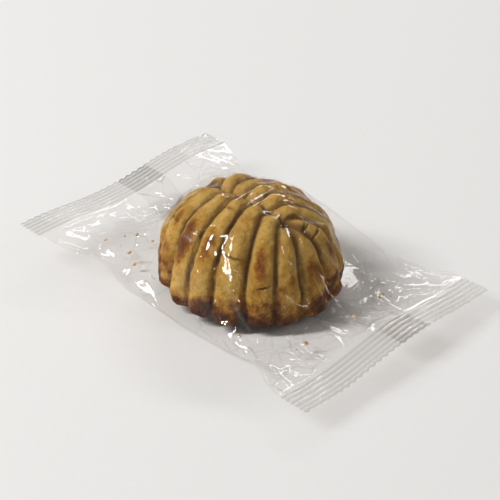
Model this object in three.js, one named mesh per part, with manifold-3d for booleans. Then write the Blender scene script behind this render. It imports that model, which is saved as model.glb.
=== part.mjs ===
// A maamoul, a filled shortbread cookie, sealed in its own clear film wrapper.
// Millimetres, +Z up. The origin is the middle of the underside that it rests on, and X runs from seal to seal.
//
// The cookie is an oval dome pressed in a leaf mould: rounded ribs run out from a spine to the rim, and slant
// towards the tip at +X. The wrapper is a tube of film drawn over it, pinched flat and crimped at both ends.
// Film and cookie are one closed solid: where the film lies on the cookie, the ribs are its outer form.

import * as THREE from "three";
import { mergeVertices } from "three/addons/utils/BufferGeometryUtils.js";
import Module from "manifold-3d";

// The cookie
const COOKIE_LENGTH = 40;
const COOKIE_WIDTH = 36.5;
const COOKIE_HEIGHT = 21.5;
const BELT_HEIGHT = 5; // where the cookie is widest
const BASE_DEPTH = 7.5; // from the belt down to where the sides would close if the base weren't flat
const BASE_TUCK = 0.07; // share by which the base is narrower than the belt
const DOME_POWER = 2.35; // 2 is an ellipsoid, more is boxier
const DOUGH_DEPTH = 2.3; // from the ribs' crests in to the dome that carries them

// The ribs
const RIBS_PER_SIDE = 7;
const SPINE_FROM = -11.5; // X where the rib nearest the stem end leaves the spine
const SPINE_TO = 10;
const STEM_ANGLE = 142; // where that rib meets the rim, in degrees round from the tip
const TIP_ANGLE = 24;
const RIB_RADIUS_AT_SPINE = 2.6;
const RIB_RADIUS_AT_RIM = 4.7;
const RIB_FOOT_HEIGHT = 0; // where a rib's centre line ends
const RIB_UNEVENNESS = 0.05; // share by which ribs differ in girth
const RIB_STRAY = 2.2; // degrees by which ribs stray from even spacing
const HEEL_SCALE = 1.8; // the plain end's girth against a rib's
const END_FULLNESS = 3.4; // 2 tapers a rib all along, more rounds off only its ends
const RIB_POINTS = 9; // that a rib's centre line is drawn through
const RIB_FRAMES = 14; // rings of faces along a rib
const RIB_SIDES = 10; // faces round a rib

// The wrapper
const PACK_LENGTH = 80;
const SEAL_SPAN = 54; // across the pack, the width of the flattened tube
const SEAL_BAND = 7; // along the pack, the width of the crimped strip
const SEAL_HEIGHT = 6.5;
const SEAL_THICKNESS = 0.6;
const WAIST = 41.2; // width over the film halfway along the cookie
const WAIST_EDGE_HEIGHT = 1.8; // of the film's side fold there
const WIDENS_FROM = 16; // X out to which the film keeps that width
const WAIST_CROWN_HEIGHT = 11; // of the film between the ribs there
const SHOULDER_HEIGHT = 15; // of the film that stands off the cookie's ends and corners
const SHOULDER_RISE = 5; // X where the film starts to stand off the ribs
const SHOULDER_FROM = 14; // X where it stands highest off them
const SHOULDER_TO = 23.5; // X by which it has dropped to the height of the seal
const ARCH_POWER = 2.1; // 2 is an elliptic arch across the pack, more is boxier
const WAIST_FULLNESS = 1; // less is a fuller arch
const SHOULDER_FULLNESS = 0.6;
const END_FILM_FULLNESS = 0.26; // past the cookie's ends, where the film lies nearly flat
const FILM_SAG = 0.8; // dip of the film between the cookie and each seal
const FLAT_HALF_LENGTH = 16; // the underside is flat this far out from the middle
const FLAT_SHARE = 0.9; // and this share of the way out to the side folds
const END_FLAT_SHARE = 0.76; // the same at the seals
const PLEATS = 5; // folds across each end, between the cookie and the seal
const PLEAT_DEPTH = 0.7;
const SEAL_WAVE = 0.8; // how far each seal's edge waves up and down
const SEAL_TIP = 1.5; // how far the seal at the stem end lifts, and the other droops
const SHEET_ROWS = 44; // faces along the film
const SHEET_COLUMNS = 28; // faces across it

const wasm = await Module();
wasm.setup();

// A closed three.js geometry as a solid that can be joined.
function solidFrom(geometry) {
  const bare = geometry.clone();
  bare.deleteAttribute("normal");
  bare.deleteAttribute("uv");
  const merged = mergeVertices(bare, 1e-4);
  return new wasm.Manifold(
    new wasm.Mesh({
      numProp: 3,
      vertProperties: new Float32Array(merged.attributes.position.array),
      triVerts: new Uint32Array(merged.index.array),
    }),
  );
}

function geometryFrom(solid) {
  const mesh = solid.getMesh();
  const geometry = new THREE.BufferGeometry();
  geometry.setAttribute("position", new THREE.BufferAttribute(mesh.vertProperties, 3));
  geometry.setIndex(new THREE.BufferAttribute(mesh.triVerts, 1));
  geometry.computeVertexNormals();
  return geometry;
}

// Moves every vertex of a geometry to the place that place(vertex) gives.
function reshape(geometry, place) {
  const position = geometry.attributes.position;
  const vertex = new THREE.Vector3();
  for (let i = 0; i < position.count; i++) {
    place(vertex.fromBufferAttribute(position, i));
    position.setXYZ(i, vertex.x, vertex.y, vertex.z);
  }
  return geometry;
}

const between = (low, high, share) => low + (high - low) * share;
const ramp = (from, to, value) => THREE.MathUtils.smoothstep(value, from, to);

// Height of the dome's crests over a point of the plan, 0 outside it.
function domeHeight(x, y) {
  const out = Math.hypot(x / (COOKIE_LENGTH / 2), y / (COOKIE_WIDTH / 2));
  const rise = Math.max(0, 1 - Math.pow(out, DOME_POWER));
  return BELT_HEIGHT + (COOKIE_HEIGHT - BELT_HEIGHT) * Math.pow(rise, 1 / DOME_POWER);
}

// The direction straight out of the dome at a point on it.
function domeNormal(point) {
  const power = DOME_POWER - 1;
  const lift = Math.max(0, point.z - BELT_HEIGHT) / (COOKIE_HEIGHT - BELT_HEIGHT);
  const x = point.x / (COOKIE_LENGTH / 2);
  const y = point.y / (COOKIE_WIDTH / 2);
  const out = Math.pow(Math.max(1e-6, Math.hypot(x, y)), DOME_POWER - 2);
  return new THREE.Vector3(
    (out * x) / (COOKIE_LENGTH / 2),
    (out * y) / (COOKIE_WIDTH / 2),
    Math.pow(lift, power) / (COOKIE_HEIGHT - BELT_HEIGHT),
  ).normalize();
}

// The dough under the ribs: a dome that is smaller than the crests by the grooves' depth.
function dough() {
  const length = COOKIE_LENGTH / 2 - DOUGH_DEPTH;
  const width = COOKIE_WIDTH / 2 - DOUGH_DEPTH;
  const height = COOKIE_HEIGHT - DOUGH_DEPTH - BELT_HEIGHT;
  const round = new THREE.SphereGeometry(1, 40, 24).rotateX(Math.PI / 2);
  return reshape(round, (v) => {
    const squared = Math.pow(
      Math.pow(Math.hypot(v.x, v.y), DOME_POWER) + Math.pow(Math.abs(v.z), DOME_POWER),
      -1 / DOME_POWER,
    );
    const up = v.z * squared;
    const tuck = 1 - BASE_TUCK * Math.min(0, up) ** 2;
    v.set(
      v.x * squared * length * tuck,
      v.y * squared * width * tuck,
      BELT_HEIGHT + up * (up > 0 ? height : BASE_DEPTH),
    );
  });
}

// One rib: a sphere stretched along the curve that runs from the spine over the dome to its foot.
function rib(start, angle, scale = 1) {
  const rim = new THREE.Vector2(
    (COOKIE_LENGTH / 2) * Math.cos(angle),
    (COOKIE_WIDTH / 2) * Math.sin(angle),
  );
  const radiusAt = (share) => scale * between(RIB_RADIUS_AT_SPINE, RIB_RADIUS_AT_RIM, share);
  const points = [];
  for (let i = 0; i <= RIB_POINTS; i++) {
    const share = Math.sin((i / RIB_POINTS) * (Math.PI / 2));
    const x = between(start, rim.x, share);
    const y = between(0, rim.y, share);
    const crest = new THREE.Vector3(x, y, domeHeight(x, y));
    points.push(crest.addScaledVector(domeNormal(crest), -radiusAt(share)));
  }
  const foot = points[RIB_POINTS].clone();
  foot.z = RIB_FOOT_HEIGHT;
  points.push(foot);
  const line = new THREE.CatmullRomCurve3(points, false, "centripetal");
  const { normals, binormals } = line.computeFrenetFrames(RIB_FRAMES, false);
  const round = new THREE.SphereGeometry(1, RIB_SIDES, RIB_FRAMES);
  return reshape(round, (v) => {
    const share = Math.acos(THREE.MathUtils.clamp(v.y, -1, 1)) / Math.PI;
    const frame = Math.round(share * RIB_FRAMES);
    const girth = Math.min(1, END_FULLNESS * Math.sqrt(Math.max(0, share * (1 - share))));
    const across = Math.hypot(v.x, v.z) || 1;
    const radius = across < 1e-6 ? 0 : girth * radiusAt(share);
    const [sideways, outwards] = [v.x / across, v.z / across];
    v.copy(line.getPointAt(share))
      .addScaledVector(normals[frame], sideways * radius)
      .addScaledVector(binormals[frame], outwards * radius);
  });
}

// Dough dome, a plain heel at the stem end, a rib down the tip, and the ribs to both sides of the spine.
function cookie() {
  let whole = solidFrom(dough());
  whole = whole.add(solidFrom(rib(SPINE_FROM, Math.PI, HEEL_SCALE)));
  whole = whole.add(solidFrom(rib(SPINE_TO, 0)));
  for (const side of [-1, 1]) {
    for (let i = 0; i < RIBS_PER_SIDE; i++) {
      const share = i / (RIBS_PER_SIDE - 1);
      const uneven = Math.sin(i * 2.4 + side);
      const start = between(SPINE_FROM, SPINE_TO, share);
      const degrees = between(STEM_ANGLE, TIP_ANGLE, share) + RIB_STRAY * uneven;
      const girth = 1 - RIB_UNEVENNESS * Math.abs(uneven);
      whole = whole.add(solidFrom(rib(start, side * THREE.MathUtils.degToRad(degrees), girth)));
    }
  }
  return whole;
}

// The film: two sheets over the same plan. They stand over the cookie as a tube that is flat underneath, drop steeply
// past its ends, and come together in a flat seal at each end.
function film() {
  const seal = PACK_LENGTH / 2 - SEAL_BAND;
  const halfThickness = SEAL_THICKNESS / 2;
  const sheet = new THREE.BoxGeometry(2, 2, 2, SHEET_ROWS, SHEET_COLUMNS, 1);
  return reshape(sheet, (v) => {
    const x = (v.x * PACK_LENGTH) / 2;
    const along = Math.abs(x);
    const across = Math.abs(v.y);
    const pinch = ramp(WIDENS_FROM, seal, along); // 0 over the cookie, 1 at the seal
    const unpinched = 4 * pinch * (1 - pinch); // 1 halfway between the two
    const rise = ramp(SHOULDER_RISE, SHOULDER_FROM, along);
    const drop = ramp(SHOULDER_FROM, SHOULDER_TO, along);
    const overCookie = between(WAIST_FULLNESS, SHOULDER_FULLNESS, rise);
    const fullness = between(overCookie, END_FILM_FULLNESS, drop);
    const arch = Math.pow(1 - Math.pow(across, ARCH_POWER), fullness);
    const edge = between(WAIST_EDGE_HEIGHT, SEAL_HEIGHT, Math.sqrt(pinch));
    const height = between(between(WAIST_CROWN_HEIGHT, SHOULDER_HEIGHT, rise), SEAL_HEIGHT, drop);
    const crown = height - FILM_SAG * unpinched;
    const belly = SEAL_HEIGHT * ramp(FLAT_HALF_LENGTH, seal, along);
    const fold = ramp(between(FLAT_SHARE, END_FLAT_SHARE, pinch), 1, across);
    const pleat = Math.cos(v.y * PLEATS * Math.PI) * PLEAT_DEPTH * unpinched * arch;
    const sway = pinch * pinch * (SEAL_WAVE * Math.sin(4 * v.y + v.x) - SEAL_TIP * v.x);
    const top = between(edge, Math.max(edge, crown), arch) + pleat + halfThickness;
    const bottom = between(Math.min(edge, belly), edge, fold) - halfThickness;
    const halfWidth = between(WAIST / 2, SEAL_SPAN / 2, pinch);
    v.set(x, v.y * halfWidth, (v.z > 0 ? top : Math.max(0, bottom)) + sway);
  });
}

const wrapped = cookie().add(solidFrom(film())).trimByPlane([0, 0, 1], 0);

const wrappedMaamoul = new THREE.Mesh(
  geometryFrom(wrapped),
  new THREE.MeshStandardMaterial({ color: 0xd8b574, roughness: 0.45, metalness: 0 }),
);
wrappedMaamoul.name = "wrapped_maamoul";

const part = new THREE.Group();
part.add(wrappedMaamoul);
export default part;
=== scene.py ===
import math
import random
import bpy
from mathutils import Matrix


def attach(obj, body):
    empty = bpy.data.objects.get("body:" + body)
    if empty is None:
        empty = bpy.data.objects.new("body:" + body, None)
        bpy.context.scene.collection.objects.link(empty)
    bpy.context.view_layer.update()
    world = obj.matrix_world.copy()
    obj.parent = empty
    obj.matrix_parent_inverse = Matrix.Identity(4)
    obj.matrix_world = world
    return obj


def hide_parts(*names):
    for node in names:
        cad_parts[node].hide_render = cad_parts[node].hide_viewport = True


bl_info = {
    "name": "Wrapped Maamoul",
    "version": (1, 0, 0),
    "blender": (4, 5, 0),
    "location": "3D View > Sidebar > Maamoul",
    "description": "A ribbed, filled shortbread cookie sealed in its own clear film wrapper",
    "category": "Object",
}

import bpy
import numpy as np
from bpy.props import FloatProperty, FloatVectorProperty, IntProperty, PointerProperty
from mathutils import Vector, noise
from mathutils.bvhtree import BVHTree

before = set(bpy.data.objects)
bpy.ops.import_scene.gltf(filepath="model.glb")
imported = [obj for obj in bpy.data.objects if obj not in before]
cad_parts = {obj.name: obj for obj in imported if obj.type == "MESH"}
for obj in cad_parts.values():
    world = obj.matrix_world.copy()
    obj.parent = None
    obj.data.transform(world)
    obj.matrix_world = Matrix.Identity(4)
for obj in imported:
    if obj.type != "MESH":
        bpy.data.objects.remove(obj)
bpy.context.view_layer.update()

MM = 0.001
NODE = "wrapped_maamoul"
BODY = "root"


# Sizes and colours that a user would change


def length(name, description, default):
    return FloatProperty(
        name=name, description=description, default=default, unit="LENGTH", precision=5
    )


def share(name, description, default):
    return FloatProperty(name=name, description=description, default=default, subtype="FACTOR")


def number(name, description, default):
    return FloatProperty(name=name, description=description, default=default)


def angle(name, description, degrees):
    return FloatProperty(
        name=name, description=description, default=math.radians(degrees), subtype="ANGLE"
    )


def count(name, description, default):
    return IntProperty(name=name, description=description, default=default, min=1)


def colour(name, description, default):
    return FloatVectorProperty(
        name=name, description=description, default=default, size=3, subtype="COLOR",
        min=0, max=1,
    )


class CookieSizes(bpy.types.PropertyGroup):
    long: length("Length", "From the plain end to the tip", 40 * MM)
    wide: length("Width", "Across the spine", 36.5 * MM)
    high: length("Height", "From the base to the crests", 21.5 * MM)
    belt: length("Belt height", "Where the cookie is widest", 5 * MM)
    base: length("Base height", "Of the flat base over the surface it rests on", 0.25 * MM)
    deep: length("Base depth", "From the belt to where the sides would close without a base", 7.5 * MM)
    tuck: share("Base tuck", "Share by which the base is narrower than the belt", 0.07)
    power: number("Dome power", "2 is an ellipsoid, more is boxier", 2.35)
    depth: length("Dough depth", "From the crests in to the dome that carries the ribs", 2.3 * MM)
    ribs: count("Ribs", "On each side of the spine", 7)
    spine_from: length("Spine start", "X where the rib nearest the plain end starts", -11.5 * MM)
    spine_to: length("Spine end", "X where the rib nearest the tip starts", 10 * MM)
    stem_angle: angle("Stem angle", "Where the first rib meets the rim, round from the tip", 142)
    tip_angle: angle("Tip angle", "Where the last rib meets the rim, round from the tip", 24)
    spine_girth: length("Girth at the spine", "Radius of a rib where it starts", 2.6 * MM)
    rim_girth: length("Girth at the rim", "Radius of a rib at the rim", 4.7 * MM)
    foot: length("Foot height", "Where a rib's centre line ends", 0)
    uneven: share("Unevenness", "Share by which ribs differ in girth", 0.05)
    stray: angle("Stray", "Angle by which ribs stray from even spacing", 2.2)
    heel: number("Heel", "Girth of the plain end against a rib's", 1.8)
    fullness: number("Fullness", "2 tapers a rib, more rounds its ends", 3.4)
    groove_wide: length("Groove width", "Half the width of the sharp bottom of a groove", 0.6 * MM)
    groove_deep: length("Groove depth", "Of that sharp bottom below the meeting ribs", 0.6 * MM)
    cracks: count("Cracks", "Short cracks across the crests", 15)
    crack_deep: length("Crack depth", "Of the deepest", 0.7 * MM)
    seed: IntProperty(name="Seed", description="Draws the cracks and browned patches", default=7)
    voxel: length("Skin mesh", "Size of the faces of the finished skin", 0.24 * MM)


class FilmSizes(bpy.types.PropertyGroup):
    long: length("Pack length", "From cut edge to cut edge", 80 * MM)
    span: length("Seal span", "Width of the flattened tube", 54 * MM)
    band: length("Seal band", "Width of the crimped strip along the pack", 7 * MM)
    high: length("Seal height", "Of the seals over the surface that the pack rests on", 6.5 * MM)
    wave: length("Seal wave", "How far each seal waves up and down", 0.8 * MM)
    tip: length("Seal tip", "How far one seal lifts and the other droops", 1.5 * MM)
    slack: length("Slack", "By which the tube is longer than the straight way between seals", 7 * MM)
    half_gap: length("Half gap", "From the middle of a seal to each of its two sheets", 0.06 * MM)
    under: length("Film under the cookie", "Its height over the surface", 0.16 * MM)
    arch_wide: length("Arch half width", "Of the film before it settles", 19.6 * MM)
    arch_high: length("Arch height", "Of the film before it settles", 24.5 * MM)
    crease: length("Crease spacing", "Between the creases in the film", 7 * MM)
    crease_deep: length("Crease depth", "How far a crease stands out of the film", 1.25 * MM)
    pleat_deep: length("Pleat depth", "Of the creases that run out of the seals", 1.6 * MM)
    facet: length("Facet size", "Of the flat facets of the loose film", 7.5 * MM)
    facet_deep: length("Facet crease", "How far the sharp creases between facets rise", 0.4 * MM)
    crimp: length("Crimp pitch", "From rib to rib in the seals", 1.15 * MM)
    crimp_deep: length("Crimp depth", "Of the ribs in the seals", 0.24 * MM)
    tooth: length("Tooth pitch", "From tooth to tooth of the cut edges", 1.8 * MM)
    tooth_deep: length("Tooth depth", "Of the teeth in the cut edges", 0.6 * MM)
    lowest: length("Lowest film", "Its least height over the surface", 0.14 * MM)
    seam: length("Seam width", "Of the lengthwise seam that is folded flat underneath", 8 * MM)
    seam_gap: length("Seam gap", "From the underside to the folded seam", 0.09 * MM)
    seam_thick: length("Seam thickness", "Of the folded seam", 0.03 * MM)
    around: count("Columns", "Faces round the tube", 120)
    rows: count("Rows", "Faces along the tube between the seals", 110)
    seal_rows: count("Seal rows", "Faces along each seal", 18)
    frames: count("Frames", "Steps in which the film settles on the cookie", 40)


class CrumbSizes(bpy.types.PropertyGroup):
    crumbs: count("Crumbs", "Loose in the film beside the cookie", 30)
    smallest: length("Smallest", "Radius of the smallest crumb", 0.16 * MM)
    largest: length("Largest", "Radius of the largest crumb", 0.5 * MM)
    reach: length("Reach", "How far along the pack they lie from its middle", 28 * MM)
    aside: length("Aside", "How far across the pack they lie from its middle", 17 * MM)
    seed: IntProperty(name="Seed", description="Draws their places and forms", default=3)


class CookieColours(bpy.types.PropertyGroup):
    pale: colour("Pale dough", "The plain, least baked dough", (0.62, 0.385, 0.088))
    warm: colour("Warm dough", "Where the dough is more baked", (0.43, 0.222, 0.026))
    # Painted shade: the grooves and the valleys between the ribs are darkened towards this tone.
    groove: colour("Groove", "Down in the grooves", (0.10, 0.040, 0.004))
    toasted: colour("Toasted crest", "Where the crests have browned", (0.24, 0.080, 0.006))
    browned: colour("Browned", "The darkest spots of the crests", (0.11, 0.028, 0.002))
    # Also the painted shade down the cracks, besides the scorched rim.
    scorched_and_crack_shade: colour("Scorched base", "Where the rim lay on the tray", (0.045, 0.011, 0.001))
    crumb: colour("Crumbs", "The pale inside of the dough", (0.72, 0.56, 0.31))


class StageSettings(bpy.types.PropertyGroup):
    azimuth: angle("Azimuth", "Of the camera, from straight across the pack", 44)
    elevation: angle("Elevation", "Of the camera over the floor", 34)
    distance: length("Distance", "Of the camera from the cookie", 0.32)
    lens: number("Lens", "Focal length in millimetres", 115)
    floor: colour("Floor", "Colour of the floor", (0.72, 0.71, 0.70))
    backdrop: colour("Backdrop", "Colour behind the floor", (0.78, 0.78, 0.78))
    walls: colour("Walls", "What the film mirrors all round", (0.31, 0.30, 0.29))
    fill: share("Fill", "Strength of the light from all round", 0.22)


# Small tools


def between(low, high, part):
    return low + (high - low) * part


def ramp(start, end, value):
    """0 before start and 1 past end, in either direction, with a smooth change."""
    part = np.clip((value - start) / (end - start), 0, 1)
    return part * part * (3 - 2 * part)


def direction(turn, lift):
    """Unit vector round from straight across the pack and up from the floor."""
    return Vector((
        math.sin(turn) * math.cos(lift), -math.cos(turn) * math.cos(lift), math.sin(lift)
    ))


def deselect():
    for other in bpy.context.selected_objects:
        other.select_set(False)


def pick(*things):
    deselect()
    for thing in things:
        thing.select_set(True)
    bpy.context.view_layer.objects.active = things[0]


def join(pieces):
    pick(*pieces)
    bpy.ops.object.join()
    return bpy.context.object


def modify(piece, kind, **settings):
    pick(piece)
    modifier = piece.modifiers.new(kind.title(), kind)
    for name, value in settings.items():
        setattr(modifier, name, value)
    bpy.ops.object.modifier_apply(modifier=modifier.name)


def points_of(piece):
    places = np.empty(len(piece.data.vertices) * 3)
    piece.data.vertices.foreach_get("co", places)
    return places.reshape(-1, 3)


def normals_of(piece):
    normals = np.empty(len(piece.data.vertices) * 3)
    piece.data.vertices.foreach_get("normal", normals)
    return normals.reshape(-1, 3)


def place_points(piece, places):
    piece.data.vertices.foreach_set("co", np.asarray(places, dtype=np.float64).ravel())
    piece.data.update()


def write_attribute(piece, name, values):
    attribute = piece.data.attributes.new(name, "FLOAT", "POINT")
    attribute.data.foreach_set("value", np.asarray(values, dtype=np.float32))


def lumps(name, size):
    texture = bpy.data.textures.new(name, "CLOUDS")
    texture.noise_scale = size
    texture.noise_depth = 2
    texture.noise_basis = "ORIGINAL_PERLIN"
    return texture


# The cookie's form


def dome_height(sizes, x, y):
    out = math.hypot(x / (sizes.long / 2), y / (sizes.wide / 2))
    rise = max(0, 1 - out**sizes.power)
    return sizes.belt + (sizes.high - sizes.belt) * rise ** (1 / sizes.power)


def dome_normal(sizes, place):
    lift = max(0, place.z - sizes.belt) / (sizes.high - sizes.belt)
    x = place.x / (sizes.long / 2)
    y = place.y / (sizes.wide / 2)
    out = max(1e-6, math.hypot(x, y)) ** (sizes.power - 2)
    slope = Vector((
        out * x / (sizes.long / 2),
        out * y / (sizes.wide / 2),
        lift ** (sizes.power - 1) / (sizes.high - sizes.belt),
    ))
    return slope.normalized()


def add_dough(sizes):
    """The dome under the ribs."""
    bpy.ops.mesh.primitive_uv_sphere_add(segments=72, ring_count=48, radius=1)
    dough = bpy.context.object
    round_places = points_of(dough)
    flat = np.hypot(round_places[:, 0], round_places[:, 1])
    squared = (flat**sizes.power + np.abs(round_places[:, 2]) ** sizes.power) ** (-1 / sizes.power)
    up = round_places[:, 2] * squared
    inset = squared * (1 - sizes.tuck * np.minimum(0, up) ** 2)
    rise = np.where(up > 0, sizes.high - sizes.depth - sizes.belt, sizes.deep)
    place_points(dough, np.column_stack([
        round_places[:, 0] * inset * (sizes.long / 2 - sizes.depth),
        round_places[:, 1] * inset * (sizes.wide / 2 - sizes.depth),
        sizes.belt + up * rise,
    ]))
    return dough


RIB_SHARES = (0, 0.015, 0.05, 0.1, 0.17, 0.34, 0.5, 0.64, 0.77, 0.87, 0.94, 0.98, 1)
RIB_END = 0.02  # girth of a rib's very end against its full girth
LINE_SAMPLES = 60  # at which a rib's centre line is measured


def rib_line(sizes, start, turn, scale):
    """Places along a rib's centre line, and the crest's place over each."""
    rim = Vector((sizes.long / 2 * math.cos(turn), sizes.wide / 2 * math.sin(turn)))
    places, crests = [], []
    for part in RIB_SHARES:
        x, y = between(start, rim.x, part), between(0, rim.y, part)
        crest = Vector((x, y, dome_height(sizes, x, y)))
        girth = scale * between(sizes.spine_girth, sizes.rim_girth, part)
        places.append(crest - dome_normal(sizes, crest) * girth)
        crests.append(crest)
    foot = places[-1].copy()
    foot.z = sizes.foot
    places.append((places[-1] + foot) / 2)
    places.append(foot)
    return places, crests


def run_along(places):
    """How far along their line the places lie, from 0 to 1."""
    steps = [0] + [(b - a).length for a, b in zip(places, places[1:])]
    return np.cumsum(steps) / sum(steps)


def add_rib(sizes, start, turn, scale):
    """A tube that swells out of the spine, runs over the dome and rounds off at its foot."""
    places, _ = rib_line(sizes, start, turn, scale)
    bpy.ops.curve.primitive_bezier_curve_add()
    bpy.ops.object.mode_set(mode="EDIT")
    bpy.ops.curve.select_all(action="SELECT")
    bpy.ops.curve.subdivide(number_cuts=len(places) - 2)
    bpy.ops.object.mode_set(mode="OBJECT")
    rib = bpy.context.object
    rib.data.bevel_depth = scale * sizes.rim_girth
    rib.data.bevel_resolution = 6
    rib.data.use_fill_caps = True
    for knot, place, part in zip(rib.data.splines[0].bezier_points, places, run_along(places)):
        full = between(sizes.spine_girth / sizes.rim_girth, 1, part)
        rounded = min(1, sizes.fullness * math.sqrt(part * (1 - part)))
        knot.handle_left_type = knot.handle_right_type = "AUTO"
        knot.co = place
        knot.radius = full * max(RIB_END, rounded)
    pick(rib)
    bpy.ops.object.convert(target="MESH")
    return bpy.context.object


def rib_plan(sizes):
    """Start, turn and scale of the heel, the tip rib and every rib beside the spine."""
    yield sizes.spine_from, math.pi, sizes.heel
    yield sizes.spine_to, 0, 1
    for side in (-1, 1):
        for i in range(sizes.ribs):
            part = i / (sizes.ribs - 1)
            uneven = math.sin(i * 2.4 + side)
            turn = between(sizes.stem_angle, sizes.tip_angle, part) + sizes.stray * uneven
            scale = 1 - sizes.uneven * abs(uneven)
            yield between(sizes.spine_from, sizes.spine_to, part), side * turn, scale


def press_cookie(sizes):
    """Dough, heel, tip rib and side ribs as one closed skin on a flat base."""
    forms = [add_dough(sizes)]
    for start, turn, scale in rib_plan(sizes):
        forms.append(add_rib(sizes, start, turn, scale))
    cookie = join(forms)
    modify(cookie, "REMESH", mode="VOXEL", voxel_size=1.5 * sizes.voxel)
    pick(cookie)
    bpy.ops.object.mode_set(mode="EDIT")
    bpy.ops.mesh.select_all(action="SELECT")
    bpy.ops.mesh.bisect(
        plane_co=(0, 0, sizes.base), plane_no=(0, 0, 1), use_fill=True, clear_inner=True
    )
    bpy.ops.object.mode_set(mode="OBJECT")
    modify(cookie, "REMESH", mode="VOXEL", voxel_size=sizes.voxel)
    modify(cookie, "SMOOTH", factor=0.5, iterations=5)
    return cookie


class RibMap:
    """For every point of the skin, how it lies to the ribs."""

    def __init__(self, sizes, places):
        total = len(places)
        self.nearest = np.full(total, 1.0)
        self.second = np.full(total, 1.0)
        self.rib = np.zeros(total, dtype=int)
        self.along = np.zeros(total)
        self.crests = []
        for rib, (start, turn, scale) in enumerate(rib_plan(sizes)):
            line, crests = rib_line(sizes, start, turn, scale)
            self.crests.append(crests)
            run = run_along(line)
            parts = np.linspace(0, 1, LINE_SAMPLES)
            line = np.array(line)
            samples = np.column_stack([np.interp(parts, run, line[:, k]) for k in range(3)])
            girths = scale * between(sizes.spine_girth, sizes.rim_girth, parts)
            girths *= np.clip(sizes.fullness * np.sqrt(parts * (1 - parts)), RIB_END, 1)
            gaps = np.full(total, 1.0)
            along = np.zeros(total)
            for part, sample, girth in zip(parts, samples, girths):
                gap = np.linalg.norm(places - sample, axis=1) - girth
                closer = gap < gaps
                gaps[closer] = gap[closer]
                along[closer] = part
            first = gaps < self.nearest
            self.second = np.where(first, self.nearest, np.minimum(self.second, gaps))
            self.nearest = np.where(first, gaps, self.nearest)
            self.rib = np.where(first, rib, self.rib)
            self.along = np.where(first, along, self.along)

    def off_groove(self):
        """0 in the middle of a groove, growing to the crest of a rib."""
        return self.second - self.nearest


def carve(cookie, sizes):
    """Sharpens the grooves between the ribs."""
    places = points_of(cookie)
    ribs = RibMap(sizes, places)
    groove = np.exp(-((ribs.off_groove() / sizes.groove_wide) ** 2))
    groove *= ramp(sizes.base, sizes.base + 2 * MM, places[:, 2])
    place_points(cookie, places - normals_of(cookie) * (groove * sizes.groove_deep)[:, None])
    modify(cookie, "SMOOTH", factor=0.5, iterations=2)


SIDE_RIBS = 2  # the first rib beside the spine comes after the heel and the tip rib
CRACK_PLACES = (0.36, 0.86)  # shares of a crest between which its cracks lie
CRACK_LONG = (1.2, 2.6)  # half a crack's length, in millimetres
CRACK_WIDE = (0.15, 0.27)  # half its width, in millimetres
CRACK_BEND = (0.12, 0.3)  # how far it wanders, in millimetres
CRACK_REACH = 4 * MM  # how far off its middle it marks the skin at most


def crack_open(cookie, sizes, ribs, draw):
    """Short cracks across the crests; returns how far each point is down one."""
    places, normals = points_of(cookie), normals_of(cookie)
    crack = np.zeros(len(places))
    for _ in range(sizes.cracks):
        crests = ribs.crests[draw.randrange(SIDE_RIBS, len(ribs.crests))]
        knot, past = divmod(draw.uniform(*CRACK_PLACES) * (len(crests) - 1), 1)
        before, after = crests[int(knot):int(knot) + 2]
        middle, ahead = before.lerp(after, past), (after - before).normalized()
        across = ahead.cross(dome_normal(sizes, middle)).normalized()
        long, wide = draw.uniform(*CRACK_LONG) * MM, draw.uniform(*CRACK_WIDE) * MM
        bend, phase = draw.uniform(*CRACK_BEND) * MM, draw.uniform(0, 6)
        off = places - np.array(middle)
        a, b = off @ np.array(across), off @ np.array(ahead)
        near = np.linalg.norm(off, axis=1) < CRACK_REACH
        run = a / long
        wander = bend * (np.sin(1.5 * run + phase) + 0.3 * np.sin(11 * run + 2 * phase))
        taper = np.clip(1 - run**2, 0, 1)
        here = np.exp(-(((b - wander) / (wide * (0.5 + 0.6 * taper))) ** 2)) * taper * near
        crack = np.maximum(crack, here)
    place_points(cookie, places - normals * (crack * sizes.crack_deep)[:, None])
    return crack


TOAST_FROM, TOAST_FULL = 0.5 * MM, 2.8 * MM  # how far off a groove the browning starts
STREAKS = (1, 2, 2, 3)  # a rib has one of these numbers of browned streaks
STREAK_PLACES = (0.2, 0.85)  # shares of a rib's length between which their middles lie
STREAK_REACH = (0.06, 0.19)  # shares of a rib's length that they reach each way
STREAK_STRENGTH = (0.5, 1.05)


def toast_of(ribs, draw):
    """Where the crests browned: one to three streaks along each rib."""
    toast = np.zeros(len(ribs.rib))
    on_crest = ramp(TOAST_FROM, TOAST_FULL, ribs.off_groove())
    for rib in range(len(ribs.crests)):
        on = (ribs.rib == rib) * on_crest
        for _ in range(draw.choice(STREAKS)):
            middle, reach = draw.uniform(*STREAK_PLACES), draw.uniform(*STREAK_REACH)
            strength = draw.uniform(*STREAK_STRENGTH)
            patch = strength * np.exp(-(((ribs.along - middle) / reach) ** 2))
            toast = np.maximum(toast, patch * on)
    return toast


BASE_ROUGHNESS = 0.2  # share of the lumps that the flat base gets


def roughen(cookie, sizes):
    """Lumps and grain in the skin, which fade towards the flat base."""
    free = cookie.vertex_groups.new(name="free")
    for i, height in enumerate(points_of(cookie)[:, 2]):
        risen = float(ramp(sizes.base, sizes.base + MM, height))
        free.add([i], between(BASE_ROUGHNESS, 1, risen), "REPLACE")
    for name, size, strength in (
        ("dents", 6.5 * MM, 1.7 * MM),
        ("lumps", 2.6 * MM, 0.6 * MM),
        ("grain", 0.9 * MM, 0.2 * MM),
    ):
        modify(
            cookie, "DISPLACE", texture=lumps(name, size), strength=strength, mid_level=0.5,
            vertex_group="free", texture_coords="LOCAL",
        )
    cookie.vertex_groups.clear()
    places = points_of(cookie)
    places[:, 2] = np.maximum(places[:, 2], sizes.base)
    place_points(cookie, places)


# The film's form

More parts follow.
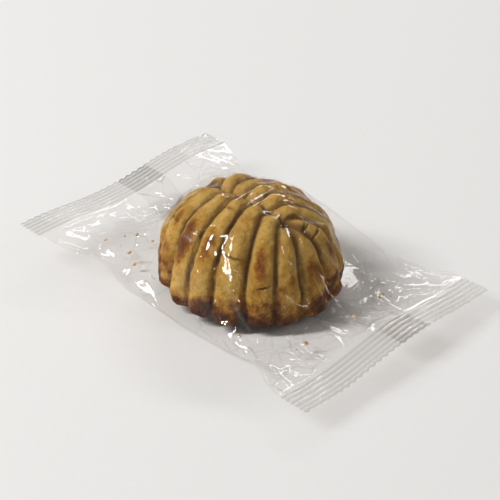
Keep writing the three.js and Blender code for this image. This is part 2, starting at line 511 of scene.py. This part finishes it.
EDGE = 0.01 * MM  # what is nearer to an edge than this is on it
SIM_SCALE = 20  # cloth settles best at about the size of real cloth
PINCH_FROM = 14 * MM  # how far from the cookie's middle the tube starts to flatten
PLEATS = 5  # more make finer pleats round the tube
PLEAT_SHIFT = 3.1  # sets the pleats of the two ends apart
PLEAT_REACH = 14 * MM  # how far the pleats run out of the seals
PLEAT_FULL = 3 * MM  # where they are deepest
HELD_LONG = 13 * MM  # half the length of the patch that lies still under the cookie
HELD_WIDE = 11 * MM  # half its width
CORE_MESH = 0.9 * MM  # face size of the plain copy of the cookie that the film falls on
CORE_BASE = 0.8 * MM  # its base is lifted to here, so that it can't catch the lower film
CORE_GAP = 0.25 * MM  # how far off the cookie the film stops
GROUND = -0.6 * MM  # height of the ground that stops the film
GROUND_GAP = 0.2 * MM  # how far off the ground it stops
LOOSE_FROM, LOOSE_TO = 0.98, 1.25  # shares of the arch's half width, past which film is loose
FACET_LAYERS = ((1, 1), (2.3, 0.4))  # how much finer each layer of facets is, and its strength
FACET_BORDER = 0.35  # share of a facet over which a crease rises
LINE_SHADE = 0.7  # strength of the painted shade lines between two crimps, against that at a cut edge
FILM_CLOTH = {
    "quality": 8,
    "mass": 0.2,
    "air_damping": 1,
    "tension_stiffness": 60,
    "compression_stiffness": 60,
    "shear_stiffness": 30,
    "bending_stiffness": 1.0,
    "tension_damping": 8,
    "compression_damping": 8,
    "shear_damping": 8,
    "bending_damping": 0.8,
    "pin_stiffness": 1,
    "use_pressure": True,
    "uniform_pressure_force": -0.1,
}


def add_tube(film):
    """The tube of film before it is filled, with finer rows in its seals."""
    rows = film.rows + 2 * film.seal_rows
    depth = film.long + film.slack
    bpy.ops.mesh.primitive_cylinder_add(
        vertices=film.around, radius=film.span / math.pi, depth=depth,
        end_fill_type="NOTHING", rotation=(0, math.pi / 2, 0),
    )
    bpy.ops.object.transform_apply(location=False, rotation=True, scale=False)
    tube = bpy.context.object
    bpy.ops.object.mode_set(mode="EDIT")
    bpy.ops.mesh.select_mode(type="EDGE")
    bpy.ops.mesh.select_all(action="DESELECT")
    bpy.ops.object.mode_set(mode="OBJECT")
    corners = tube.data.vertices
    for edge in tube.data.edges:
        a, b = (corners[i].co.x for i in edge.vertices)
        edge.select = abs(a - b) > film.band
    bpy.ops.object.mode_set(mode="EDIT")
    bpy.ops.mesh.subdivide(number_cuts=rows - 1)
    bpy.ops.object.mode_set(mode="OBJECT")
    places = points_of(tube)
    ends = film.seal_rows / rows * depth
    places[:, 0] = np.interp(
        places[:, 0],
        (-depth / 2, ends - depth / 2, depth / 2 - ends, depth / 2),
        (-depth / 2, film.band - depth / 2, depth / 2 - film.band, depth / 2),
    )
    place_points(tube, places)
    return tube


def seal_height(film, x, y):
    """Height of a seal's middle, which waves and tips."""
    end = np.sign(x)
    return film.high + film.wave * np.sin(8 * y / film.span + end) - film.tip * end


def drawn_over(film, tube_places):
    """Where the tube lies, drawn over the cookie and flattened at its ends, before it settles."""
    depth = film.long + film.slack
    inner = film.long / 2 - film.band
    x = np.interp(
        tube_places[:, 0],
        (-depth / 2, film.band - depth / 2, depth / 2 - film.band, depth / 2),
        (-film.long / 2, -inner, inner, film.long / 2),
    )
    turn = np.arctan2(tube_places[:, 1], tube_places[:, 2]) / math.pi
    side, part = np.sign(turn), np.abs(turn)
    flat_y = side * film.span * np.minimum(part, 1 - part)
    flat_z = seal_height(film, x, flat_y) + np.where(part < 0.5, 1, -1) * film.half_gap
    wide, high = film.arch_wide, film.arch_high
    quarter = math.pi * (3 * (wide + high) - math.sqrt((3 * wide + high) * (wide + 3 * high))) / 4
    arch = quarter / (quarter + wide)
    swing = np.minimum(part / arch, 1) * math.pi / 2
    round_y = np.where(part < arch, wide * np.sin(swing), wide * (1 - part) / (1 - arch)) * side
    round_z = np.where(part < arch, high * np.cos(swing), 0) + film.under
    pinch = ramp(PINCH_FROM, inner, np.abs(x))
    return np.column_stack([x, between(round_y, flat_y, pinch), between(round_z, flat_z, pinch)])


def crumpled(film, tube_places):
    """The tube at rest, with the sharp creases that handling has left in it."""
    inner = (film.long + film.slack) / 2 - film.band
    free = ramp(inner + film.band / 2, inner - film.band, np.abs(tube_places[:, 0]))
    out = tube_places * (0, 1, 1) / (film.span / math.pi)
    creased = tube_places.copy()
    for size, deep in ((film.crease, film.crease_deep), (film.crease / 2, film.crease_deep / 2.5)):
        ridge = np.array([1 - 2 * abs(noise.noise(Vector(place) / size)) for place in tube_places])
        creased += out * (free * ridge * deep)[:, None]
    turn = np.arctan2(tube_places[:, 1], tube_places[:, 2])
    reach = inner - np.abs(tube_places[:, 0])
    pleated = ramp(-MM, 2 * MM, reach) * ramp(PLEAT_REACH, PLEAT_FULL, reach)
    folds = []
    for end, wound in zip(np.copysign(1, tube_places[:, 0]), turn):
        spot = Vector((PLEAT_SHIFT * end, PLEATS * math.sin(wound), PLEATS * math.cos(wound)))
        folds.append(1 - 2 * abs(noise.noise(spot)))
    creased += out * (pleated * np.array(folds) * film.pleat_deep)[:, None]
    return creased


def settle(film, tube, cookie):
    """Lets the film cling round the cookie, with its seals held, and leaves it a plain mesh."""
    tube_places = points_of(tube)
    start = drawn_over(film, tube_places)
    inner = film.long / 2 - film.band
    tube.shape_key_add(name="start")
    rest = tube.shape_key_add(name="tube")
    tube.data.shape_keys.key_blocks["start"].data.foreach_set("co", (start * SIM_SCALE).ravel())
    rest.data.foreach_set("co", (crumpled(film, tube_places) * SIM_SCALE).ravel())
    held = tube.vertex_groups.new(name="held")
    along, across = np.abs(start[:, 0]), np.abs(start[:, 1])
    patch = (along < HELD_LONG) & (across < HELD_WIDE) & (start[:, 2] < MM)
    held.add(np.flatnonzero((along >= inner - EDGE) | patch).tolist(), 1.0, "REPLACE")

    pick(cookie)
    bpy.ops.object.duplicate()
    core = bpy.context.object
    modify(core, "REMESH", mode="VOXEL", voxel_size=CORE_MESH)
    places = points_of(core)
    places[:, 2] = np.maximum(places[:, 2], CORE_BASE)
    place_points(core, places * SIM_SCALE)
    core.modifiers.new("Collision", "COLLISION")
    core.collision.thickness_outer = CORE_GAP * SIM_SCALE
    core.collision.cloth_friction = 5
    bpy.ops.mesh.primitive_plane_add(size=0.2 * SIM_SCALE, location=(0, 0, GROUND * SIM_SCALE))
    ground = bpy.context.object
    ground.modifiers.new("Collision", "COLLISION")
    ground.collision.thickness_outer = GROUND_GAP * SIM_SCALE

    cloth = tube.modifiers.new("Cloth", "CLOTH")
    for name, value in FILM_CLOTH.items():
        setattr(cloth.settings, name, value)
    cloth.settings.vertex_group_mass = "held"
    cloth.settings.rest_shape_key = rest
    cloth.collision_settings.distance_min = GROUND_GAP * SIM_SCALE
    cloth.collision_settings.collision_quality = 3
    cloth.collision_settings.use_self_collision = False
    cloth.point_cache.frame_start = 1
    cloth.point_cache.frame_end = film.frames
    scene = bpy.context.scene
    scene.frame_start, scene.frame_end = 1, film.frames
    for step in range(1, film.frames + 1):
        scene.frame_set(step)
    pick(tube)
    bpy.ops.object.convert(target="MESH")
    scene.frame_set(1)
    bpy.data.objects.remove(core)
    bpy.data.objects.remove(ground)
    tube.vertex_groups.clear()
    place_points(tube, points_of(tube) / SIM_SCALE)


def crinkle(film, tube):
    """Straight sharp creases between flat facets, wherever the settled film is loose.

    Both sheets rise together, so they can't cross.
    """
    places = points_of(tube)
    inner = film.long / 2 - film.band
    free = ramp(inner + 0.5 * MM, inner - 3 * MM, np.abs(places[:, 0]))
    free *= ramp(LOOSE_FROM, LOOSE_TO, np.hypot(places[:, 0], places[:, 1]) / film.arch_wide)
    ridge = np.zeros(len(places))
    for finer, strength in FACET_LAYERS:
        for i, place in enumerate(places):
            near, further = noise.voronoi(Vector(place) / (film.facet / finer))[0][:2]
            ridge[i] += strength * max(0, 1 - (further - near) / FACET_BORDER)
    places[:, 2] += free * ridge * film.facet_deep
    place_points(tube, places)


def close_ends(film, tube):
    """Joins the two sheets along both cut edges."""
    places = points_of(tube)
    cut = np.abs(places[:, 0]) > film.long / 2 - EDGE
    places[cut, 2] = seal_height(film, places[cut, 0], places[cut, 1])
    place_points(tube, places)
    bpy.ops.object.mode_set(mode="EDIT")
    bpy.ops.mesh.select_mode(type="VERT")
    bpy.ops.mesh.select_all(action="DESELECT")
    bpy.ops.object.mode_set(mode="OBJECT")
    for vertex, picked in zip(tube.data.vertices, cut):
        vertex.select = bool(picked)
    bpy.ops.object.mode_set(mode="EDIT")
    bpy.ops.mesh.remove_doubles(threshold=film.half_gap)
    bpy.ops.object.mode_set(mode="OBJECT")


def crimp(film, tube):
    """Presses ribs across the seals and cuts their edges to teeth."""
    places = points_of(tube)
    along, across = np.abs(places[:, 0]), places[:, 1]
    inner = film.long / 2 - film.band
    in_seal = ramp(inner + 0.2 * MM, inner + 0.8 * MM, along)
    uneven = 0.8 + 0.2 * np.sin(across / (2.5 * MM) + np.sign(places[:, 0]))
    ribs = np.sin((along - inner) / film.crimp * 2 * math.pi) * uneven
    teeth = np.abs((across / film.tooth) % 1 - 0.5) * 2
    near_cut = np.clip((along - film.long / 2) / (2 * MM) + 1, 0, 1)
    places[:, 2] += in_seal * ribs * film.crimp_deep
    places[:, 0] -= np.sign(places[:, 0]) * near_cut * teeth * film.tooth_deep
    places[:, 2] = np.maximum(places[:, 2], film.lowest)
    place_points(tube, places)
    # Painted shade: dark lines along the crimps and at the cut edges, for the light that the film
    # bends there.
    cut = ramp(film.long / 2 - 0.5 * MM, film.long / 2 - 0.2 * MM, along)
    write_attribute(tube, "painted_line_shade", np.maximum(in_seal * (0.5 - 0.5 * ribs) * LINE_SHADE, cut))


# Materials


class Shader:
    """Builds a material's nodes; every value is a socket or a plain number or colour."""

    def __init__(self, name):
        self.material = bpy.data.materials.new(name)
        self.material.use_nodes = True
        self.tree = self.material.node_tree
        self.tree.nodes.clear()
        self.output = self.tree.nodes.new("ShaderNodeOutputMaterial")
        self.place = self.tree.nodes.new("ShaderNodeTexCoord").outputs["Object"]

    def feed(self, socket, value):
        if isinstance(value, bpy.types.NodeSocket):
            self.tree.links.new(value, socket)
        elif socket.type == "RGBA":
            socket.default_value = (*value, 1)
        else:
            socket.default_value = value

    def node(self, kind, out=0, settings=(), **values):
        made = self.tree.nodes.new(kind)
        for name, value in dict(settings).items():
            setattr(made, name, value)
        for name, value in values.items():
            self.feed(made.inputs[name.replace("_", " ").title()], value)
        return made.outputs[out]

    def noise(self, size, detail=2, roughness=0.5):
        return self.node(
            "ShaderNodeTexNoise", vector=self.place, scale=1 / size, detail=detail,
            roughness=roughness,
        )

    def math(self, operation, a, b):
        made = self.tree.nodes.new("ShaderNodeMath")
        made.operation = operation
        self.feed(made.inputs[0], a)
        self.feed(made.inputs[1], b)
        return made.outputs[0]

    def plus(self, a, b):
        return self.math("ADD", a, b)

    def times(self, a, b):
        return self.math("MULTIPLY", a, b)

    def step(self, value, start, end):
        """0 below start and 1 above end, or the other way round, with a smooth change."""
        made = self.tree.nodes.new("ShaderNodeMapRange")
        made.interpolation_type = "SMOOTHSTEP"
        flip = start > end
        for name, limit in (
            ("From Min", min(start, end)), ("From Max", max(start, end)),
            ("To Min", 1.0 if flip else 0.0), ("To Max", 0.0 if flip else 1.0),
        ):
            made.inputs[name].default_value = limit
        self.feed(made.inputs["Value"], value)
        return made.outputs[0]

    def mix(self, a, b, factor):
        made = self.tree.nodes.new("ShaderNodeMix")
        made.data_type = "RGBA"
        self.feed(made.inputs[0], factor)
        self.feed(made.inputs[6], a)
        self.feed(made.inputs[7], b)
        return made.outputs[2]

    def blend(self, a, b, factor):
        made = self.tree.nodes.new("ShaderNodeMixShader")
        self.feed(made.inputs[0], factor)
        self.tree.links.new(a, made.inputs[1])
        self.tree.links.new(b, made.inputs[2])
        return made.outputs[0]

    def attribute(self, name):
        made = self.tree.nodes.new("ShaderNodeAttribute")
        made.attribute_name = name
        return made.outputs["Fac"]

    def height(self):
        return self.node("ShaderNodeSeparateXYZ", out=2, vector=self.place)

    def bump(self, height, distance):
        return self.node("ShaderNodeBump", height=height, distance=distance)

    def finish(self, surface):
        self.tree.links.new(surface, self.output.inputs["Surface"])
        return self.material


def dough_material(colours):
    s = Shader("baked_dough")
    crest = s.attribute("crest")
    blotch = s.noise(3.2 * MM, detail=3)
    broad = s.noise(9 * MM)
    mottle = s.noise(1.1 * MM, detail=4, roughness=0.65)
    fine = s.noise(0.5 * MM, detail=4, roughness=0.65)
    ragged = s.math("SUBTRACT", s.noise(2.2 * MM, detail=5, roughness=0.6), 0.5)

    skin = s.mix(colours.pale, colours.warm, s.step(blotch, 0.44, 0.74))
    skin = s.mix(skin, colours.warm, s.times(s.step(mottle, 0.48, 0.68), 0.55))
    # Painted shade: the valleys between the ribs and the bottoms of the grooves darken towards the
    # groove tone.
    skin = s.mix(skin, colours.groove, s.times(s.step(s.attribute("rise"), 1.0, 0.0), 0.32))
    skin = s.mix(skin, colours.groove, s.times(s.step(crest, 0.6, 0.0), 0.85))

    grainy = s.math("SUBTRACT", fine, 0.5)
    toast = s.plus(s.attribute("toast"), s.times(ragged, 1.1))
    toast = s.plus(toast, s.times(grainy, 0.7))
    toast = s.plus(toast, s.times(s.step(broad, 0.50, 0.72), 0.2))
    skin = s.mix(skin, colours.warm, s.step(toast, 0.15, 0.50))
    skin = s.mix(skin, colours.toasted, s.times(s.step(toast, 0.42, 0.74), 0.9))
    skin = s.mix(skin, colours.browned, s.times(s.step(toast, 0.72, 1.05), 0.85))

    uneven = s.plus(s.math("SUBTRACT", blotch, 0.5), s.math("SUBTRACT", broad, 0.5))
    uneven = s.plus(uneven, s.times(ragged, 0.6))
    uneven = s.plus(uneven, s.times(grainy, 0.4))
    height = s.math("SUBTRACT", s.height(), s.times(uneven, 16 * MM))
    for tone, start, end, strength in (
        (colours.warm, 11.0 * MM, 6.5 * MM, 0.8),
        (colours.toasted, 8.0 * MM, 4.5 * MM, 0.8),
        (colours.browned, 5.8 * MM, 2.8 * MM, 0.85),
        (colours.scorched_and_crack_shade, 3.6 * MM, 0.8 * MM, 0.85),
    ):
        skin = s.mix(skin, tone, s.times(s.step(height, start, end), strength))
    # Painted shade: the cracks darken towards the scorched tone.
    skin = s.mix(skin, colours.scorched_and_crack_shade, s.times(s.attribute("crack"), 0.75))
    speck = s.times(s.step(s.noise(0.45 * MM, detail=1), 0.64, 0.74), 0.45)
    skin = s.mix(skin, colours.browned, speck)

    relief = s.plus(fine, s.times(s.noise(0.22 * MM), 0.5))
    relief = s.plus(relief, s.times(mottle, 0.8))
    principled = s.node(
        "ShaderNodeBsdfPrincipled",
        base_color=skin,
        roughness=s.plus(s.times(fine, 0.25), 0.48),
        normal=s.bump(relief, 0.34 * MM),
    )
    shader = principled.node
    shader.inputs["Subsurface Weight"].default_value = 0.06
    shader.inputs["Subsurface Radius"].default_value = (1.0, 0.5, 0.2)
    shader.inputs["Subsurface Scale"].default_value = 1.2 * MM
    shader.inputs["Specular IOR Level"].default_value = 0.15
    return s.finish(principled)


def crumb_material(colours):
    s = Shader("crumbs")
    mottle = s.noise(0.35 * MM, detail=3, roughness=0.6)
    skin = s.mix(colours.crumb, colours.pale, s.step(mottle, 0.45, 0.75))
    skin = s.mix(skin, colours.toasted, s.step(s.noise(4 * MM, detail=1), 0.60, 0.75))
    principled = s.node(
        "ShaderNodeBsdfPrincipled", base_color=skin, roughness=0.7, normal=s.bump(mottle, 0.1 * MM)
    )
    return s.finish(principled)


def film_material():
    s = Shader("clear_film")
    ripple = s.noise(1.8 * MM)
    border = s.node(
        "ShaderNodeTexVoronoi", out="Distance", settings={"feature": "DISTANCE_TO_EDGE"},
        vector=s.place, scale=1 / (6.5 * MM),
    )
    crease = s.times(s.step(border, 0.04, 0.0), s.step(s.noise(9 * MM), 0.42, 0.62))
    normal = s.bump(s.plus(ripple, s.times(crease, 2.0)), 0.03 * MM)
    facing = s.node("ShaderNodeLayerWeight", out=1, blend=0.5, normal=normal)
    grazing = s.math("POWER", facing, 5.0)
    mirrored = s.plus(s.times(grazing, 0.65), 0.021)
    # Painted shade: the crimps, cut edges and some creases darken the light passing through the film.
    painted_line_shade = s.math("MAXIMUM", s.attribute("painted_line_shade"), s.times(crease, 0.4))
    tint = s.mix((0.985, 0.98, 0.975), (0.78, 0.77, 0.76), painted_line_shade)
    clear = s.node("ShaderNodeBsdfTransparent", color=tint)
    gloss = s.node("ShaderNodeBsdfAnisotropic", color=(1, 1, 1), roughness=0.06, normal=normal)
    veil = s.node("ShaderNodeBsdfDiffuse", color=(0.9, 0.9, 0.9))
    glossy = s.blend(clear, gloss, mirrored)
    return s.finish(s.blend(glossy, veil, 0.004))


def floor_material(settings):
    """Pale and matt; it glows with distance, so that it stays pale past the lights' reach."""
    s = Shader("matte_floor")
    grain = s.noise(1.2 * MM, detail=3)
    dark = tuple(0.97 * c for c in settings.floor)
    away = s.node(
        "ShaderNodeVectorMath", out="Value", settings={"operation": "LENGTH"}, vector=s.place
    )
    principled = s.node(
        "ShaderNodeBsdfPrincipled",
        base_color=s.mix(settings.floor, dark, grain),
        roughness=0.75,
        emission_color=settings.backdrop,
        emission_strength=s.times(s.step(away, 0.15, 1.5), 0.8),
        normal=s.bump(grain, 0.02 * MM),
    )
    return s.finish(principled)


# Operators

GROOVE_OUT = 0.05 * MM  # how far off a groove's middle its painted shade starts to fade
CREST_FROM = 1.5 * MM  # how far off it the crest starts
CREST_TOP = 3.6 * MM  # how far off it the crest's top lies


class MAAMOUL_OT_cookie(bpy.types.Operator):
    """Press and bake the ribbed cookie"""

    bl_idname = "maamoul.cookie"
    bl_label = "Cookie"

    def execute(self, context):
        sizes = context.scene.cookie_sizes
        draw = random.Random(sizes.seed)
        cookie = press_cookie(sizes)
        carve(cookie, sizes)
        roughen(cookie, sizes)
        ribs = RibMap(sizes, points_of(cookie))
        crack = crack_open(cookie, sizes, ribs, draw)
        # crest and rise mark where the grooves get their painted shade.
        write_attribute(cookie, "crest", ramp(GROOVE_OUT, CREST_FROM, ribs.off_groove()))
        write_attribute(cookie, "rise", np.clip(ribs.off_groove() / CREST_TOP, 0, 1))
        write_attribute(cookie, "toast", toast_of(ribs, draw))
        write_attribute(cookie, "crack", crack)
        cookie.name = cookie.data.name = "cookie"
        cookie.data.materials.clear()
        cookie.data.materials.append(dough_material(context.scene.cookie_colours))
        pick(cookie)
        bpy.ops.object.shade_smooth()
        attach(cookie, BODY)
        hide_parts(NODE)
        return {"FINISHED"}


class MAAMOUL_OT_film(bpy.types.Operator):
    """Wrap the cookie in a tube of film, let it settle and seal its ends"""

    bl_idname = "maamoul.film"
    bl_label = "Film"

    def execute(self, context):
        film = context.scene.film_sizes
        tube = add_tube(film)
        settle(film, tube, context.scene.objects["cookie"])
        close_ends(film, tube)
        modify(tube, "SUBSURF", levels=1, render_levels=1)
        crinkle(film, tube)
        crimp(film, tube)
        tube.name = tube.data.name = "film"
        tube.data.materials.clear()
        tube.data.materials.append(film_material())
        pick(tube)
        bpy.ops.object.shade_smooth()
        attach(tube, BODY)
        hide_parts(NODE)
        return {"FINISHED"}


class MAAMOUL_OT_seam(bpy.types.Operator):
    """Fold the film's lengthwise seam flat against its underside"""

    bl_idname = "maamoul.seam"
    bl_label = "Lengthwise seam"

    def execute(self, context):
        film = context.scene.film_sizes
        pick(context.scene.objects["film"])
        bpy.ops.object.duplicate()
        seam = context.object
        bpy.ops.object.mode_set(mode="EDIT")
        bpy.ops.mesh.select_mode(type="FACE")
        bpy.ops.mesh.select_all(action="DESELECT")
        bpy.ops.object.mode_set(mode="OBJECT")
        for face in seam.data.polygons:
            face.select = 0 < face.center.y < film.seam and face.normal.z < 0
        bpy.ops.object.mode_set(mode="EDIT")
        bpy.ops.mesh.select_all(action="INVERT")
        bpy.ops.mesh.delete(type="FACE")
        bpy.ops.object.mode_set(mode="OBJECT")
        places = points_of(seam)
        places[:, 2] -= film.seam_gap
        place_points(seam, places)
        modify(seam, "SOLIDIFY", thickness=film.seam_thick, offset=0)
        seam.name = seam.data.name = "seam"
        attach(seam, BODY)
        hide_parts(NODE)
        return {"FINISHED"}


TRIES = 200  # for each crumb
CRUMB_ROOM = 2.5  # least height between the two sheets, in a crumb's radii
CRUMB_LIFT = 0.8  # height of its middle over the lower sheet, in its radii
CRUMB_CLEAR = 1.5  # least way from its middle to the cookie, in its radii
CRUMB_WIDE = (0.7, 1.1)  # width across a crumb, against its drawn size
CRUMB_HIGH = 0.75  # its height, against the same
CRUMB_KNOBS = 0.55  # how uneven its form is


def crumb_spots(crumbs, film_piece, draw):
    """Places on the lower film, beside the cookie, where a crumb of the drawn size has room."""
    graph = bpy.context.evaluated_depsgraph_get()
    sheets = BVHTree.FromObject(film_piece, graph)
    cookie = BVHTree.FromObject(bpy.context.scene.objects["cookie"], graph)
    up = Vector((0, 0, 1))
    spots = 0
    for _ in range(TRIES * crumbs.crumbs):
        if spots == crumbs.crumbs:
            return
        size = between(crumbs.smallest, crumbs.largest, draw.random() ** 2)
        x, y = draw.uniform(-crumbs.reach, crumbs.reach), draw.uniform(-crumbs.aside, crumbs.aside)
        low = sheets.ray_cast(Vector((x, y, -MM)), up)[0]
        high = sheets.ray_cast(low + up * 0.1 * MM, up)[0] if low else None
        if not high or high.z - low.z < CRUMB_ROOM * size + 0.3 * MM:
            continue
        spot = low + up * (CRUMB_LIFT * size + 0.05 * MM)
        if cookie.ray_cast(low, up)[0] or cookie.find_nearest(spot)[3] < CRUMB_CLEAR * size:
            continue
        spots += 1
        yield spot, size
    raise RuntimeError("The crumbs have no room in the film.")


class MAAMOUL_OT_crumbs(bpy.types.Operator):
    """Scatter the crumbs that came off the cookie"""

    bl_idname = "maamoul.crumbs"
    bl_label = "Crumbs"

    def execute(self, context):
        crumbs = context.scene.crumb_sizes
        draw = random.Random(crumbs.seed)
        pieces = []
        for spot, size in crumb_spots(crumbs, context.scene.objects["film"], draw):
            bpy.ops.mesh.primitive_ico_sphere_add(subdivisions=2, radius=size)
            crumb = context.object
            squeeze = [draw.uniform(*CRUMB_WIDE), draw.uniform(*CRUMB_WIDE), CRUMB_HIGH]
            drift = Vector([draw.uniform(-9, 9) for _ in range(3)])
            places = []
            for vertex in crumb.data.vertices:
                out = vertex.co / size
                knobbly = 1 + CRUMB_KNOBS * noise.noise(out * 1.7 + drift)
                places.append([size * knobbly * a * b for a, b in zip(out, squeeze)] + np.array(spot))
            place_points(crumb, places)
            pieces.append(crumb)
        scatter = join(pieces)
        scatter.name = scatter.data.name = "crumbs"
        scatter.data.materials.append(crumb_material(context.scene.cookie_colours))
        bpy.ops.object.shade_smooth_by_angle(angle=math.radians(35))
        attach(scatter, BODY)
        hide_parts(NODE)
        return {"FINISHED"}


AIM = 8 * MM  # height over the floor that the camera looks at
LIGHTS = (
    # name, degrees round from the camera and up from the floor, distance, size, power
    ("key_softbox", -80, 44, 1.0, (0.12, 0.46), 10.5),
    ("back_strip", 165, 34, 0.7, (0.40, 0.05), 1.2),
    ("side_strip", 80, 35, 0.7, (0.05, 0.3), 0.6),
)


def add_light(name, azimuth, elevation, distance, size, power):
    """A softbox that looks at the cookie."""
    away = direction(math.radians(azimuth), math.radians(elevation))
    bpy.ops.object.light_add(type="AREA", location=away * distance)
    light = bpy.context.object
    light.name = light.data.name = name
    light.rotation_euler = away.to_track_quat("Z", "Y").to_euler()
    light.data.shape = "RECTANGLE"
    light.data.size, light.data.size_y = size
    light.data.energy = power


def studio_world(settings):
    """Dim fill light, a backdrop as pale as the floor, and walls for gloss to mirror."""
    world = bpy.data.worlds.new("studio")
    world.use_nodes = True
    nodes, links = world.node_tree.nodes, world.node_tree.links
    fill = nodes["Background"]
    fill.inputs["Color"].default_value = (1, 0.97, 0.93, 1)
    fill.inputs["Strength"].default_value = settings.fill
    backdrop = nodes.new("ShaderNodeBackground")
    backdrop.inputs["Color"].default_value = (*settings.backdrop, 1)
    walls = nodes.new("ShaderNodeBackground")
    walls.inputs["Color"].default_value = (*settings.walls, 1)
    ray = nodes.new("ShaderNodeLightPath")
    light = fill.outputs[0]
    for kind, shown in (("Is Glossy Ray", walls), ("Is Camera Ray", backdrop)):
        blend = nodes.new("ShaderNodeMixShader")
        links.new(ray.outputs[kind], blend.inputs[0])
        links.new(light, blend.inputs[1])
        links.new(shown.outputs[0], blend.inputs[2])
        light = blend.outputs[0]
    links.new(light, nodes["World Output"].inputs["Surface"])
    return world


class MAAMOUL_OT_stage(bpy.types.Operator):
    """Set out the floor, the soft lights and the camera"""

    bl_idname = "maamoul.stage"
    bl_label = "Stage"

    def execute(self, context):
        settings = context.scene.stage_settings
        deselect()
        bpy.ops.mesh.primitive_plane_add(size=6, location=(0, 0, 0))
        floor = context.object
        floor.name = floor.data.name = "floor"
        floor.data.materials.append(floor_material(settings))
        facing = math.degrees(settings.azimuth)
        for name, turn, lift, distance, size, power in LIGHTS:
            add_light(name, facing + turn, lift, distance, size, power)
        context.scene.world = studio_world(settings)
        away = direction(settings.azimuth, settings.elevation)
        bpy.ops.object.camera_add(location=Vector((0, 0, AIM)) + away * settings.distance)
        camera = context.object
        camera.rotation_euler = away.to_track_quat("Z", "Y").to_euler()
        camera.data.lens = settings.lens
        camera.data.clip_start = 0.01
        context.scene.camera = camera
        context.scene.view_settings.view_transform = "Standard"
        return {"FINISHED"}


class MAAMOUL_PT_sidebar(bpy.types.Panel):
    """Lists the pieces in the order in which they are made"""

    bl_idname = "MAAMOUL_PT_sidebar"
    bl_label = "Wrapped Maamoul"
    bl_space_type = "VIEW_3D"
    bl_region_type = "UI"
    bl_category = "Maamoul"

    def draw(self, context):
        for operator in OPERATORS:
            self.layout.operator(operator.bl_idname)


GROUPS = {
    "cookie_sizes": CookieSizes,
    "cookie_colours": CookieColours,
    "film_sizes": FilmSizes,
    "crumb_sizes": CrumbSizes,
    "stage_settings": StageSettings,
}
OPERATORS = (
    MAAMOUL_OT_cookie,
    MAAMOUL_OT_film,
    MAAMOUL_OT_seam,
    MAAMOUL_OT_crumbs,
    MAAMOUL_OT_stage,
)


def register():
    for name, group in GROUPS.items():
        bpy.utils.register_class(group)
        setattr(bpy.types.Scene, name, PointerProperty(type=group))
    for operator in OPERATORS:
        bpy.utils.register_class(operator)
    bpy.utils.register_class(MAAMOUL_PT_sidebar)


def unregister():
    bpy.utils.unregister_class(MAAMOUL_PT_sidebar)
    for operator in reversed(OPERATORS):
        bpy.utils.unregister_class(operator)
    for name, group in reversed(GROUPS.items()):
        delattr(bpy.types.Scene, name)
        bpy.utils.unregister_class(group)


def main():
    register()
    bpy.ops.maamoul.cookie()
    bpy.ops.maamoul.film()
    bpy.ops.maamoul.seam()
    bpy.ops.maamoul.crumbs()
    bpy.ops.maamoul.stage()


if __name__ == "__main__":
    main()
